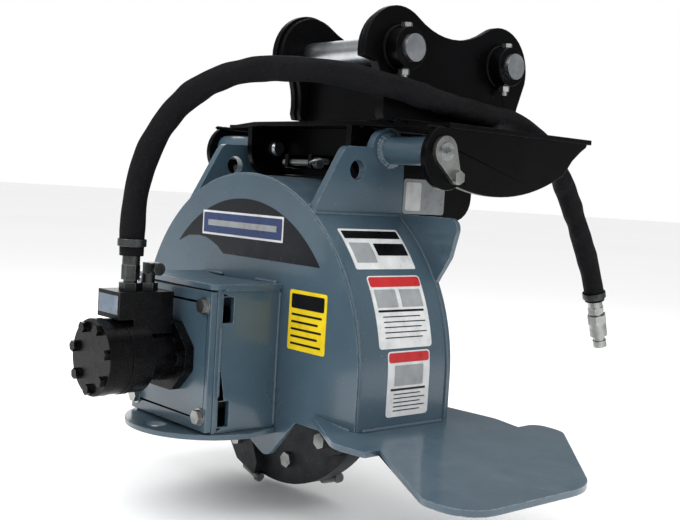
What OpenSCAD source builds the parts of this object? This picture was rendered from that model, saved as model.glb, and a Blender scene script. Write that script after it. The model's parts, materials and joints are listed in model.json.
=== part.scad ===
// Excavator stump grinder: a toothed wheel in a half-round housing, turned by a hydraulic
// motor and hung from a pin-on hitch. The wheel axis runs along Y, the hitch pins along X.
// Modules work about the wheel centre; placed() moves the whole part to the front hitch pin.

/* [Wheel] */
// Radius of the steel wheel without its teeth
disc_r = 168; // [150:1:180]
// Thickness of the steel wheel
disc_t = 25; // [20:1:30]
// Number of tooth stations round the wheel
tooth_n = 10; // [6:2:12]
// Radius of a carbide tooth
tooth_r = 5; // [4:0.5:6]

/* [Housing] */
// Radius of the rolled outer band
band_r = 211; // [200:1:240]
// Front side plate: distance of its outer face from the wheel centre
front_y = 81; // [70:1:100]
// Back side plate: distance of its inner face from the wheel centre
back_y = 53; // [40:1:70]
// Thickness of the side plates
plate_t = 6; // [4:0.5:8]
// Thickness of the outer band
band_t = 5; // [3:0.5:8]
// Lower edge of the band below the wheel axis
skirt_z = 66; // [50:1:80]

/* [Motor box] */
// Half width of the motor box
box_w = 77; // [70:1:90]
// Depth from the front plate to the motor mount plate
box_d = 78; // [60:1:100]
// Half width of the motor mount plate
mount_w = 76; // [68:1:77]
// Thickness of the motor mount plate
mount_t = 8; // [6:1:12]
// Radius of the round bottom flange
flange_r = 90; // [84:1:96]
// Radius of the tie-down hole in the bottom flange
tie_r = 12.5; // [8:0.5:14]

/* [Motor] */
// Radius of the motor body at its end cap
motor_r = 41.5; // [36:0.5:44]
// Length of the motor housing in front of its mounting flange
motor_l = 61; // [50:1:80]
// Radius of the drive shaft
shaft_r = 17.5; // [15:0.5:20]

/* [Pivot] */
// Pivot axis behind the wheel centre
pivot_y = 30; // [20:1:40]
// Pivot axis above the top of the band
pivot_rise = 29; // [26:1:34]
// Radius of the pivot pins
pivot_r = 10; // [8:0.5:12]
// Outer face of each ear from the centre plane
ear_x = 121.5; // [110:0.5:130]
// Thickness of the ears
ear_t = 10; // [6:1:12]
// Outer face of each frame end plate from the centre plane
end_x = 206; // [190:1:220]
// Thickness of the frame plates
frame_t = 8; // [6:1:10]

/* [Hitch] */
// Radius of the hitch pins
pin_r = 15; // [12:0.5:18]
// Distance between the two hitch pins
pin_gap = 170; // [150:1:190]
// Height of the hitch pins above the pivot
pin_rise = 110; // [104:1:120]
// Clear width between the hitch plates
hitch_w = 130; // [110:1:140]
// Thickness of each hitch plate with its doubler
hitch_t = 16; // [12:1:20]

/* [Skid plate] */
// Thickness of the skid plate
skid_t = 6; // [4:0.5:8]
// Height of the flat tongue below the wheel axis
skid_z = 62; // [60:1:70]

/* [Hose] */
// Radius of the hose in its sleeve
hose_r = 14; // [11:0.5:15]

/* [Hidden] */
$fn = 64;

steel_grey = [0.36, 0.44, 0.49];
frame_black = [0.06, 0.06, 0.07];
motor_black = [0.09, 0.09, 0.10];
bright = [0.72, 0.73, 0.74];
dark_steel = [0.22, 0.24, 0.26];

// clearances: a fixed joint, a running fit and a free side gap
fit = 0.1;
run = 0.08;
gap = 0.3;

front_pin_y = 5;
pivot_z = band_r + pivot_rise;
pin_z = pivot_z + pin_rise;
hitch_cx = 72;
arc_z = -7;
band_in = band_r - band_t;
box_front = -front_y - box_d;
frame_plate_t = 6;
mount_back = box_front - frame_plate_t;
mount_front = mount_back - mount_t;
box_h = 78;
lid_t = 6;
bearing_t = 24;

// motor stack, from the mounting flange forward
flange_t = 11;
ring_t = 8;
cap_t = 12;
barrel_r = 30;
pilot_r = 32;
body_y = mount_front - motor_l;
spacer_y = body_y - ring_t;
gerotor_y = spacer_y - 16;
cap_y = gerotor_y - cap_t;
port_top = 71;
port_y1 = body_y - 18;
fitting_y = -226;
elbow_y = -204;

inner_x = 98;
top_z = pivot_z + 26;
top_t = 6;
top_front_y = 0;
ear_r = 25.4;
deck_z = top_z + top_t;
lock_hole_y = -17;
lock_hole_z = pivot_z - 25;
lock_hole_r = 11.5;
keeper_dy = 18;
keeper_dz = -27;

lobe_r = 51;
saddle_drop = 26;
collar_w = 19;
collar_r = 23;
pin_end = 7;
lock_bolt_r = 4;
groove_w = 4;
groove_r = 13.5;

lock_y = 2;
lock_z = pivot_z - 18;
lock_r = 4;
lock_head_x = 30.5;
ring_r = 13;
wire_r = 1.6;

// route of the hose from the motor port over the frame to its free end
hose_route = [[-2, -226, 108], [-2, -226, 138], [-1, -225, 168], [3, -222, 196], [11, -217, 224],
    [22, -210, 248], [36, -200, 270], [53, -189, 287], [73, -176, 300], [94, -162, 308],
    [115, -146, 312], [135, -128, 313], [152, -106, 313], [165, -82, 311], [173, -56, 308],
    [178, -15, 304], [178, 32, 298], [177, 82, 292], [174, 128, 289], [171, 166, 287],
    [169, 198, 282], [168, 228, 272], [168, 257, 256], [168, 282, 234], [167, 305, 209],
    [166, 328, 178], [166, 350, 144], [166, 370, 110], [166, 384, 80], [166, 389, 64]];
// the route was laid out for this pivot height, and rises with the frame
route_pivot_z = 240;
hose_path = [for (p = hose_route)
    p + [0, 0, (pivot_z - route_pivot_z) * min(1, max(0, (p[2] - hose_route[0][2]) / 130))]];
hose_sides = 10;
hose_start = hose_path[0];
hose_end = hose_path[len(hose_path) - 1];
end_tilt = 198;
clamp_t = 8;

// ---------- shared shapes ----------

module placed() translate([-hitch_cx, -front_pin_y, -pin_z]) children();

module cyl_x(x0, x1, y, z, r) translate([x0, y, z]) rotate([0, 90, 0]) cylinder(h = x1 - x0, r = r);

module cyl_y(y0, y1, x, z, r) translate([x, y1, z]) rotate([90, 0, 0]) cylinder(h = y1 - y0, r = r);

module cyl_z(z0, z1, x, y, r) translate([x, y, z0]) cylinder(h = z1 - z0, r = r);

// a plate whose outline lies in YZ, from x0 to x0 + t
module plate_x(x0, t) translate([x0, 0, 0]) rotate([90, 0, 90]) linear_extrude(t) children();

// a plate whose outline lies in XZ, from y0 to y0 + t
module plate_y(y0, t) translate([0, y0 + t, 0]) rotate([90, 0, 0]) linear_extrude(t) children();

// a hexagon head or nut standing on z = 0
module hex(r, h) cylinder(h = h, r = r, $fn = 6);

// a hexagon bolt with its head on z = 0 and its shank below
module hex_bolt(r, length, head_r, head_h) {
    hex(head_r, head_h);
    translate([0, 0, -length]) cylinder(h = length, r = r);
}

// a socket head bolt with its head on z = 0 and its shank below
module socket_bolt(r, length, head_r, head_h) {
    difference() {
        cylinder(h = head_h, r = head_r);
        translate([0, 0, head_h * 0.4]) hex(head_r * 0.55, head_h);
    }
    translate([0, 0, -length]) cylinder(h = length, r = r);
}

function arc(cx, cy, r, a0, a1, n) =
    [for (i = [0:n]) [cx + r * cos(a0 + (a1 - a0) * i / n), cy + r * sin(a0 + (a1 - a0) * i / n)]];

// a polygon corner rounded to radius r between its two neighbours
function unit2(v) = v / norm(v);
function fillet(a, b, c, r, n = 6) =
    let (u = unit2(a - b), w = unit2(c - b), half = acos(u * w) / 2,
        centre = b + unit2(u + w) * r / sin(half), reach = r / tan(half),
        p = b + u * reach - centre, q = b + w * reach - centre,
        a0 = atan2(p[1], p[0]), turn = atan2(q[1], q[0]) - a0,
        sweep = turn > 180 ? turn - 360 : turn < -180 ? turn + 360 : turn)
    [for (i = [0:n]) centre + r * [cos(a0 + sweep * i / n), sin(a0 + sweep * i / n)]];

// corners is a list of [x, y, radius]
function rounded(corners) =
    let (n = len(corners))
    [for (i = [0:n - 1])
        let (b = corners[i], a = corners[(i + n - 1) % n], c = corners[(i + 1) % n])
        each (b[2] == 0 ? [[b[0], b[1]]] : fillet([a[0], a[1]], [b[0], b[1]], [c[0], c[1]], b[2]))];

// ---------- housing ----------

module half_round(r, low) {
    translate([0, arc_z]) circle(r, $fn = 128);
    translate([-r, low]) square([2 * r, arc_z - low]);
}

module housing_outline(r, low) {
    difference() {
        half_round(r, low);
        translate([-2 * r, low - 2 * r]) square([4 * r, 2 * r]);
    }
}

// lower skirt that shields the wheel hub
module hub_skirt() polygon(rounded([[-114, -skirt_z, 0], [-114, -skirt_z + 10, 0],
    [114, -skirt_z + 10, 0], [114, -skirt_z, 0], [67, -116, 17], [0, -84, 40], [-67, -116, 17]]));

module front_side_plate() color(steel_grey) difference() {
    plate_y(-front_y, plate_t) {
        housing_outline(band_r, -skirt_z);
        hub_skirt();
    }
    cyl_y(-front_y - 1, -front_y + plate_t + 1, 0, 0, shaft_r + 8);
    bearing_pattern() cyl_y(-front_y - 1, -front_y + plate_t + 1, 0, 0, 6 + fit);
}

// one fin each side that stands proud of the band
module back_fin() polygon(rounded([[125, 90, 0], [182, 90, 0], [204, 124, 12], [216, 168, 12],
    [125, 168, 0]]));

module back_side_plate() color(steel_grey) {
    plate_y(back_y, plate_t) housing_outline(band_r, -skirt_z);
    for (side = [0, 1]) mirror([side, 0, 0]) plate_y(back_y, plate_t) back_fin();
}

module outer_band() color(steel_grey) plate_y(-front_y + plate_t, front_y - plate_t + back_y)
    difference() {
        housing_outline(band_r, -skirt_z);
        translate([0, arc_z]) circle(band_in, $fn = 128);
        translate([-band_in, -skirt_z - 1]) square([2 * band_in, skirt_z + arc_z + 1]);
    }

// ---------- ears and pivot tubes ----------

module ear_outline() translate([0, pivot_z])
    polygon(rounded([[-80, -120, 0], [-80, -76, 0], [-40, -6, 0], [-34, 1, 9], [pivot_y - 24, 2, 6],
        [pivot_y - 14, 14, 0], [pivot_y, 10, 0], [pivot_y + ear_r - 0.4, -2, 0],
        [pivot_y + ear_r + 2, -120, 0]]));

module ear(x0) difference() {
    union() {
        plate_x(x0, ear_t) ear_outline();
        cyl_x(x0, x0 + ear_t, pivot_y, pivot_z, ear_r);
    }
    cyl_y(-front_y - 1, back_y + plate_t + 1, 0, arc_z, band_r, $fn = 128);
    cyl_x(x0 - 1, x0 + ear_t + 1, pivot_y, pivot_z, pivot_r + run);
    cyl_x(x0 - 1, x0 + ear_t + 1, lock_hole_y, lock_hole_z, lock_hole_r);
}

module ear_near() color(steel_grey) ear(ear_x - ear_t);

module ear_far() color(steel_grey) ear(-ear_x);

module pivot_tube(x0, x1) difference() {
    cyl_x(x0, x1, pivot_y, pivot_z, 16);
    cyl_x(x0 - 1, x1 + 1, pivot_y, pivot_z, pivot_r + run);
}

module pivot_tube_near() color(steel_grey) pivot_tube(ear_x, end_x - frame_t - gap);

module pivot_tube_far() color(steel_grey) pivot_tube(-end_x + frame_t + gap, -ear_x);

module pivot_spacers() color(bright) for (side = [0, 1]) mirror([side, 0, 0])
    pivot_tube(inner_x + gap, ear_x - ear_t);

// ---------- skid plate ----------

slope_x0 = 150;
bend_x = 259;
slope_half = 112;
slope_angle = 6.2;

module skid_slope() difference() {
    translate([bend_x, -12, -skid_z]) rotate([0, slope_angle, 0]) translate([-bend_x, 0, -skid_t])
        linear_extrude(skid_t) polygon(rounded([[slope_x0 - 2, -slope_half + 38, 0],
            [slope_x0 + 76, -slope_half, 22], [bend_x, -slope_half + 14, 0],
            [bend_x, slope_half + 26, 0], [slope_x0 + 76, slope_half + 24, 22],
            [slope_x0 - 2, slope_half - 14, 0]]));
    housing_clear();
}

// the space that the housing takes out of the skid plate
module housing_clear() plate_y(-front_y, front_y + back_y + plate_t) {
    translate([-band_r, -150]) square([2 * band_r, 250]);
}

module skid_tongue() translate([0, 0, -skid_z - skid_t]) linear_extrude(skid_t)
    polygon(rounded([[bend_x - 1, -90, 0], [396, -172, 26], [449, -172, 34], [449, -6, 70],
        [297, 157, 34], [bend_x - 2, 160, 14], [bend_x - 1, 130, 0]]));

module skid_plate() color(steel_grey) {
    skid_slope();
    skid_tongue();
}

// ---------- motor box ----------

module box_side_wall(x0) difference() {
    translate([x0, box_front, -box_h]) cube([plate_t, box_d, 2 * box_h]);
    for (z = [-71, 42]) translate([x0 - 1, box_front + 1, z]) cube([plate_t + 2, 14, 28]);
}

module box_side_walls() color(steel_grey) {
    box_side_wall(box_w - plate_t);
    box_side_wall(-box_w);
}

module mount_pattern() for (x = [-65, 65], z = [-60, 60]) translate([x, 0, z]) children();

module box_front_frame() color(steel_grey) difference() {
    translate([-box_w, mount_back, -box_h]) cube([2 * box_w, frame_plate_t, 2 * box_h]);
    cyl_y(mount_back - 1, box_front + 1, 0, 0, pilot_r + 1);
    mount_pattern() cyl_y(mount_back - 1, box_front + 1, 0, 0, 5 + fit);
}

module box_lid() color(steel_grey) translate([0, 0, box_h]) linear_extrude(lid_t)
    polygon(concat([[-box_w - 3, -front_y], [-box_w - 3, mount_front + 2], [-box_w + 2, mount_front - 1],
        [box_w - 2, mount_front - 1], [box_w + 3, mount_front + 4], [box_w + 3, -front_y],
        [box_w - 12, -front_y]], arc(0, -front_y + 120, 138, -64, -116, 14),
        [[-box_w + 12, -front_y]]));

module box_bottom_plate() color(steel_grey) difference() {
    translate([0, 0, -box_h - lid_t]) linear_extrude(lid_t)
        polygon(concat(arc(0, -122, flange_r, 180, 360, 36), [[box_w + 4, -front_y], [-box_w - 4, -front_y]]));
    cyl_z(-box_h - lid_t - 1, -box_h + 1, 4, -190, tie_r);
}

module motor_mount_plate() color(steel_grey) difference() {
    translate([-mount_w, mount_front, -mount_w]) cube([2 * mount_w, mount_t, 2 * mount_w]);
    cyl_y(mount_front - 1, mount_back + 1, 0, 0, pilot_r + fit);
    mount_pattern() cyl_y(mount_front - 1, mount_back + 1, 0, 0, 5 + fit);
    flange_pattern() cyl_y(mount_front - 1, mount_back + 1, 0, 0, 4.5 + fit);
}

module mount_plate_bolts() color(bright) mount_pattern() translate([0, mount_front, 0]) rotate([90, 0, 0]) {
    cylinder(h = 1.5, r = 9.5);
    translate([0, 0, 1.5]) hex_bolt(5, mount_t + frame_plate_t + 1.5, 8, 5.5);
}

// ---------- motor ----------

module flange_pattern() for (x = [-38.5, 38.5]) translate([x, 0, 0]) children();

module motor_housing() color(motor_black) difference() {
    union() {
        plate_y(mount_front - flange_t, flange_t) polygon(rounded([[-48, -13, 6], [-48, 13, 6],
            [-22, 38, 6], [22, 38, 6], [48, 13, 6], [48, -13, 6], [22, -38, 6], [-22, -38, 6]]));
        cyl_y(body_y, mount_front - 1, 0, 0, barrel_r);
        cyl_y(body_y, body_y + 18, 0, 0, motor_r - 1);
        translate([-23, port_y1, 26]) cube([46, mount_front - flange_t - 2 - port_y1, port_top - 26]);
        cyl_y(mount_front - 1, mount_back, 0, 0, pilot_r);
    }
    translate([-24, port_y1 - 1, 0]) cube([48, body_y - port_y1 + 1, motor_r + gap]);
    cyl_y(body_y + 20, mount_back + 1, 0, 0, 16 + run);
    flange_pattern() cyl_y(mount_front - flange_t - 1, mount_front + 1, 0, 0, 4.5 + fit);
    cyl_z(port_top - 12, port_top + 1, -2, fitting_y, 8 + fit);
    cyl_z(port_top - 12, port_top + 1, -2, elbow_y, 8 + fit);
}

module stack_ring(y0, y1, r) difference() {
    cyl_y(y0, y1, 0, 0, r);
    cap_pattern() cyl_y(y0 - 1, y1 + 1, 0, 0, 4 + fit);
}

module cap_pattern() for (i = [0:6]) rotate([0, 90 + i * 360 / 7, 0]) translate([34, 0, 0]) children();

module motor_spacer_rings() color(motor_black) {
    stack_ring(spacer_y, body_y, motor_r);
    stack_ring(gerotor_y, spacer_y - 0.2, motor_r - 0.8);
}

module motor_end_cap() color(motor_black) stack_ring(cap_y, gerotor_y, motor_r);

module motor_cap_bolts() color(motor_black) cap_pattern() translate([0, cap_y, 0]) rotate([90, 0, 0])
    hex_bolt(4, body_y - cap_y, 6, 5.5);

module motor_flange_bolts() color(motor_black) flange_pattern() translate([0, mount_front - flange_t, 0])
    rotate([90, 0, 0]) socket_bolt(4.5, flange_t + mount_t, 7.5, 8);

module motor_data_plate() color([0.45, 0.49, 0.53]) translate([-20, port_y1 - 0.8, 47])
    cube([40, 0.8, 20]);

module hose_port_fitting() color(dark_steel) translate([-2, fitting_y, 0]) {
    translate([0, 0, port_top - 10]) cylinder(h = 10, r = 8);
    translate([0, 0, port_top]) hex(12, 8);
    translate([0, 0, port_top + 8]) cylinder(h = 3, r = 7.5);
    translate([0, 0, port_top + 11]) hex(10, 16);
    translate([0, 0, port_top + 27]) cylinder(h = hose_start[2] - port_top - 27, r = 9.5);
}

module elbow_fitting() color(dark_steel) translate([-2, elbow_y, 0]) {
    translate([0, 0, port_top - 10]) cylinder(h = 10, r = 8);
    translate([0, 0, port_top]) hex(11, 8);
    translate([0, 0, port_top + 8]) cylinder(h = 10, r = 7.5);
    translate([0, -7.5, port_top + 18]) cube([15, 15, 12], center = false);
    translate([15, 0, port_top + 24]) rotate([0, 90, 0]) cylinder(h = 8, r = 7);
}

// ---------- drive line ----------

module bearing_pattern() for (x = [-38, 38], z = [-38, 38]) translate([x, 0, z]) children();

module shaft_bearing_block() color(motor_black) difference() {
    union() {
        plate_y(-front_y - 12, 12) polygon(rounded([[-48, -48, 10], [48, -48, 10], [48, 48, 10], [-48, 48, 10]]));
        cyl_y(-front_y - bearing_t, -front_y - 11, 0, 0, 36);
    }
    cyl_y(-front_y - bearing_t - 1, -front_y + 1, 0, 0, shaft_r + run);
    bearing_pattern() cyl_y(-front_y - 13, -front_y + 1, 0, 0, 6 + fit);
}

module bearing_bolts() color(bright) bearing_pattern() translate([0, -front_y - 12, 0]) rotate([90, 0, 0])
    hex_bolt(6, 12 + plate_t, 10, 7);

module drive_shaft() color(bright) cyl_y(-front_y - bearing_t - 14, disc_t / 2 + 4, 0, 0, shaft_r);

module motor_shaft() color(bright) cyl_y(body_y + 24, -front_y - bearing_t - 15, 0, 0, 12);

module shaft_coupling() color(dark_steel) difference() {
    cyl_y(mount_back + 12, -front_y - bearing_t - 2, 0, 0, 28);
    cyl_y(mount_back + 11, -front_y - bearing_t, 0, 0, 12 + fit);
    cyl_y(-front_y - bearing_t - 14.5, -front_y - bearing_t, 0, 0, shaft_r + fit);
}

// ---------- wheel ----------

module hub_pattern() for (i = [0:5]) rotate([0, i * 60, 0]) translate([42, 0, 0]) children();

module wheel_hub() color(dark_steel) difference() {
    union() {
        cyl_y(-disc_t / 2 - 12, -disc_t / 2, 0, 0, 56);
        cyl_y(-disc_t / 2 - 34, -disc_t / 2 - 11, 0, 0, 30);
    }
    cyl_y(-disc_t / 2 - 35, 1, 0, 0, shaft_r + fit);
    hub_pattern() cyl_y(-disc_t / 2 - 13, 1, 0, 0, 6 + fit);
}

module hub_bolts() color(bright) hub_pattern() translate([0, -disc_t / 2 - 12, 0]) rotate([90, 0, 0])
    hex_bolt(6, 12 + disc_t, 10, 7);

module cutter_wheel() color(dark_steel) difference() {
    cyl_y(-disc_t / 2, disc_t / 2, 0, 0, disc_r, $fn = 128);
    cyl_y(-disc_t, disc_t, 0, 0, shaft_r + fit);
    hub_pattern() cyl_y(-disc_t, disc_t, 0, 0, 6 + fit);
    stations() cyl_y(-disc_t, disc_t, disc_r - 31, -bolt_back, 6 + fit);
}

// tooth stations: every other tooth sits on the other face of the wheel
first_tooth = 35.5;
holder_t = 14;
tooth_y = -disc_t / 2 - holder_t / 2;
bolt_back = 19;
module stations() for (i = [0:tooth_n - 1]) rotate([0, first_tooth + i * 360 / tooth_n, 0])
    mirror([0, i % 2, 0]) children();

module tooth_holders() color(dark_steel) stations() difference() {
    plate_y(-disc_t / 2 - holder_t, holder_t) polygon(rounded([[disc_r - 50, -36, 7],
        [disc_r - 20, -36, 10], [disc_r - 4, -12, 5], [disc_r - 3, 26, 3], [disc_r - 20, 26, 6],
        [disc_r - 50, -2, 8]]));
    cyl_y(-disc_t / 2 - holder_t - 1, 0, disc_r - 31, -bolt_back, 6 + fit);
    translate([disc_r - 1, tooth_y, -1]) cylinder(h = 30, r = tooth_r + fit);
}

// all heads are on the motor side
module tooth_bolts() color(bright) for (i = [0:tooth_n - 1]) rotate([0, first_tooth + i * 360 / tooth_n, 0])
    translate([disc_r - 31, -disc_t / 2 - (i % 2 == 0 ? holder_t : 0), -bolt_back])
        rotate([90, 0, 0]) hex_bolt(6, disc_t + holder_t, 9.5, 6.5);

module cutter_teeth() color([0.5, 0.5, 0.52]) stations() {
    translate([disc_r - 1, tooth_y, 0]) cylinder(h = 27, r = tooth_r);
    translate([disc_r - 1, tooth_y, 27]) cylinder(h = 5, r1 = tooth_r + 1.6, r2 = tooth_r + 0.8);
}

// ---------- swing frame ----------

module frame_top_plate() color(frame_black) translate([0, 0, top_z]) linear_extrude(top_t)
    polygon([[-100, top_front_y], [100, top_front_y], [end_x - 14, 38], [end_x, 38], [end_x, 299], [end_x - 20, 299],
        [end_x - 20, 158], [152, 158], [152, 216], [-152, 216], [-152, 158],
        [-end_x + 20, 158], [-end_x + 20, 299], [-end_x, 299], [-end_x, 38], [-end_x + 14, 38]]);

// boat-shaped end plate with a round nose on the pivot
module end_outline() translate([0, pivot_z]) intersection() {
    union() {
        translate([38, -6]) circle(36);
        polygon(concat([[30, 20], [30, -40.5]], arc(122, 212, 258, 251, 299, 16),
            [[262, 4], [278, 16], [288, 22], [292, 30], [30, 30]]));
    }
    translate([-20, -60]) square([340, 60 + top_z - pivot_z]);
}

module end_plate(x0) difference() {
    plate_x(x0, frame_t) end_outline();
    cyl_x(x0 - 1, x0 + frame_t + 1, pivot_y, pivot_z, pivot_r + fit);
    cyl_x(x0 - 1, x0 + frame_t + 1, pivot_y + keeper_dy, pivot_z + keeper_dz, 5 + fit);
}

module end_plate_near() color(frame_black) end_plate(end_x - frame_t);

module end_plate_far() color(frame_black) end_plate(-end_x);

module inner_outline() translate([0, pivot_z]) polygon(rounded([[-9, top_z - pivot_z, 0], [-9, -36, 33],
    [68, -36, 6], [76, -79, 10], [202, -79, 30], [202, top_z - pivot_z, 0]]));

module inner_plate(x0) difference() {
    plate_x(x0, frame_t) inner_outline();
    cyl_x(x0 - 1, x0 + frame_t + 1, pivot_y, pivot_z, pivot_r + fit);
}

module inner_plate_near() color(frame_black) inner_plate(inner_x - frame_t);

module inner_plate_far() color(frame_black) inner_plate(-inner_x);

module pivot_pin() {
    cyl_x(inner_x - frame_t - 5, end_x + 7, pivot_y, pivot_z, pivot_r);
    translate([inner_x - frame_t - 8, pivot_y, pivot_z]) rotate([0, 90, 0])
        cylinder(h = 3, r1 = pivot_r - 2, r2 = pivot_r);
}

module pivot_pin_near() color(bright) pivot_pin();

module pivot_pin_far() color(bright) mirror([1, 0, 0]) pivot_pin();

// teardrop flag welded round the pin and bolted to the end plate
module keeper_outline() {
    circle(17);
    translate([keeper_dy, keeper_dz]) circle(8);
    polygon([[-14, -10], [keeper_dy - 7, keeper_dz - 4], [keeper_dy + 8, keeper_dz], [16.5, 4]]);
}

module pin_keepers() color(bright) for (side = [0, 1]) mirror([side, 0, 0]) difference() {
    plate_x(end_x, 5) translate([pivot_y, pivot_z]) keeper_outline();
    cyl_x(end_x - 1, end_x + 6, pivot_y, pivot_z, pivot_r + fit);
    cyl_x(end_x - 1, end_x + 6, pivot_y + keeper_dy, pivot_z + keeper_dz, 5 + fit);
}

module keeper_bolts() color(bright) for (side = [0, 1]) mirror([side, 0, 0])
    translate([end_x + 5, pivot_y + keeper_dy, pivot_z + keeper_dz]) rotate([0, 90, 0])
        hex_bolt(5, frame_t + 5, 8, 5.5);

module grease_nipples() color(bright) for (side = [0, 1]) mirror([side, 0, 0])
    translate([end_x + 7, pivot_y, pivot_z]) rotate([0, 90, 0]) {
        hex(4.5, 3);
        translate([0, 0, 3]) cylinder(h = 4, r = 2.5);
        translate([0, 0, 7]) cylinder(h = 2, r = 3.2);
    }

// ---------- hitch ----------

hitch_in = [hitch_cx - hitch_w / 2, hitch_cx + hitch_w / 2];
rear_pin_y = front_pin_y + pin_gap;
saddle_r = (pow(pin_gap / 2, 2) + pow(saddle_drop, 2) - pow(lobe_r, 2)) / (2 * (lobe_r - saddle_drop));
saddle_a = atan2(saddle_drop + saddle_r, pin_gap / 2);

// two round lobes joined by a shallow saddle, narrowing to the foot
function hitch_points(inset) = concat(
    arc(front_pin_y, pin_z - 4, lobe_r - inset, 190, saddle_a, 16),
    arc(front_pin_y + pin_gap / 2, pin_z - 4 + saddle_drop + saddle_r, saddle_r + inset,
        180 + saddle_a, 360 - saddle_a, 10),
    arc(rear_pin_y, pin_z - 4, lobe_r - inset, 180 - saddle_a, -12, 16),
    [[rear_pin_y + 38 - inset, pin_z - 46], [rear_pin_y + 30 - inset, deck_z], [front_pin_y - 17 + inset, deck_z]],
    arc(-92, pin_z - 60, 78 + inset, -8, 34, 6));

module hitch_plate(x0) difference() {
    plate_x(x0, hitch_t / 2) polygon(hitch_points(0));
    for (y = [front_pin_y, rear_pin_y]) cyl_x(x0 - 1, x0 + hitch_t + 1, y, pin_z, pin_r + fit);
}

module hitch_plate_near() color(frame_black) hitch_plate(hitch_in[1] + hitch_t / 2);

module hitch_plate_far() color(frame_black) hitch_plate(hitch_in[0] - hitch_t);

module hitch_doublers() color(frame_black) for (x0 = [hitch_in[1], hitch_in[0] - hitch_t / 2]) difference() {
    plate_x(x0, hitch_t / 2) polygon(hitch_points(3));
    for (y = [front_pin_y, rear_pin_y]) cyl_x(x0 - 1, x0 + hitch_t + 1, y, pin_z, pin_r + fit);
}

// one plate between the hitch plates and one behind the pivot, between the inner plates
module frame_cross_plates() color(frame_black) {
    translate([hitch_in[0], 4, deck_z]) cube([hitch_w, 10, 50]);
    translate([-inner_x + frame_t, pivot_y + pivot_r + 3, pivot_z - 33])
        cube([2 * (inner_x - frame_t), 8, top_z - pivot_z + 33]);
}

// each pin end: collar outside the plate, locked by a bolt through the collar and the pin
module collar_spots() for (y = [front_pin_y, rear_pin_y], side = [-1, 1])
    translate([hitch_cx + side * (hitch_w / 2 + hitch_t + collar_w / 2), y, pin_z]) children();

module pin_collars() color(frame_black) collar_spots() difference() {
    cyl_x(-collar_w / 2, collar_w / 2, 0, 0, collar_r);
    cyl_x(-collar_w, collar_w, 0, 0, pin_r + fit);
    cyl_z(-collar_r - 1, collar_r + 1, 0, 0, lock_bolt_r + fit);
}

// a grease groove inside each hitch plate leaves a plain bearing length between the plates
module hitch_pin(y) difference() {
    union() {
        cyl_x(hitch_in[0], hitch_in[1], y, pin_z, pin_r);
        cyl_x(hitch_in[0] - groove_w, hitch_in[1] + groove_w, y, pin_z, groove_r);
        for (x = [hitch_in[0] - hitch_t - collar_w - pin_end, hitch_in[1] + groove_w])
            cyl_x(x, x + hitch_t + collar_w + pin_end - groove_w, y, pin_z, pin_r);
    }
    for (side = [-1, 1])
        cyl_z(pin_z - pin_r - 1, pin_z + pin_r + 1, hitch_cx + side * (hitch_w / 2 + hitch_t + collar_w / 2),
            y, lock_bolt_r + fit);
}

module hitch_pin_front() color(bright) hitch_pin(front_pin_y);

module hitch_pin_rear() color(bright) hitch_pin(rear_pin_y);

module pin_lock_bolts() color(bright) collar_spots() {
    translate([0, 0, collar_r]) hex_bolt(lock_bolt_r, 2 * collar_r + 11, 6.5, 4.5);
    translate([0, 0, -collar_r - 6]) hex(6.5, 6);
}

// ---------- transport lock ----------

lug_gap = 38;

module lock_pin_lugs() color(frame_black) for (x = [-lug_gap / 2 - 6, lug_gap / 2]) difference() {
    translate([x, lock_y - 7, lock_z - 7]) cube([6, pivot_y + pivot_r + 3 - lock_y + 7, 17]);
    cyl_x(x - 1, x + 7, lock_y, lock_z, lock_r + run);
}

module lock_pin() color(bright) difference() {
    union() {
        cyl_x(-lug_gap / 2 - 14, lock_head_x, lock_y, lock_z, lock_r);
        cyl_x(lock_head_x - 4, lock_head_x + 4, lock_y, lock_z, lock_r + 2.5);
    }
    cyl_y(lock_y - 10, lock_y + 10, lock_head_x, lock_z, wire_r + run);
}

module lock_pin_ring() color(bright) translate([lock_head_x, lock_y, lock_z]) rotate([0, -20, 0]) {
    rotate([90, 0, 0]) cylinder(h = 2 * ring_r, r = wire_r, center = true, $fn = 24);
    rotate([0, 0, -90]) rotate_extrude(angle = 180) translate([ring_r, 0]) circle(wire_r, $fn = 24);
}

// ---------- hose and its end pieces ----------

function cross3(a, b) = [a[1] * b[2] - a[2] * b[1], a[2] * b[0] - a[0] * b[2], a[0] * b[1] - a[1] * b[0]];
function along(p, i) = unit2(i == 0 ? p[1] - p[0] : i == len(p) - 1 ? p[i] - p[i - 1] : p[i + 1] - p[i - 1]);
// side vectors carried from ring to ring so that the tube doesn't twist
function flat_to(v, t) = unit2(v - t * (v * t));
function side_at(p, i) = i == 0 ? flat_to([1, 0, 0], along(p, 0)) : flat_to(side_at(p, i - 1), along(p, i));

module swept_tube(p, r, sides) {
    rings = [for (i = [0:len(p) - 1]) let (t = along(p, i), u = side_at(p, i), v = cross3(t, u))
        each [for (k = [0:sides - 1]) p[i] + r * (cos(k * 360 / sides) * u + sin(k * 360 / sides) * v)]];
    last = (len(p) - 1) * sides;
    walls = [for (i = [0:len(p) - 2], k = [0:sides - 1]) let (a = i * sides + k, b = i * sides + (k + 1) % sides)
        each [[a, b, b + sides], [a, b + sides, a + sides]]];
    polyhedron(rings, concat([[for (k = [sides - 1:-1:0]) k]], walls, [[for (k = [0:sides - 1]) last + k]]));
}

module hose() color([0.12, 0.12, 0.13]) swept_tube(hose_path, hose_r, hose_sides);

module band_clamp() difference() {
    cylinder(h = clamp_t, r = hose_r + 1.5);
    translate([0, 0, -1]) cylinder(h = clamp_t + 2, r = hose_r + gap);
}

module motor_end_clamp() color(dark_steel)
    translate([hose_start[0], hose_start[1], hose_start[2] + 10]) band_clamp();

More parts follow.
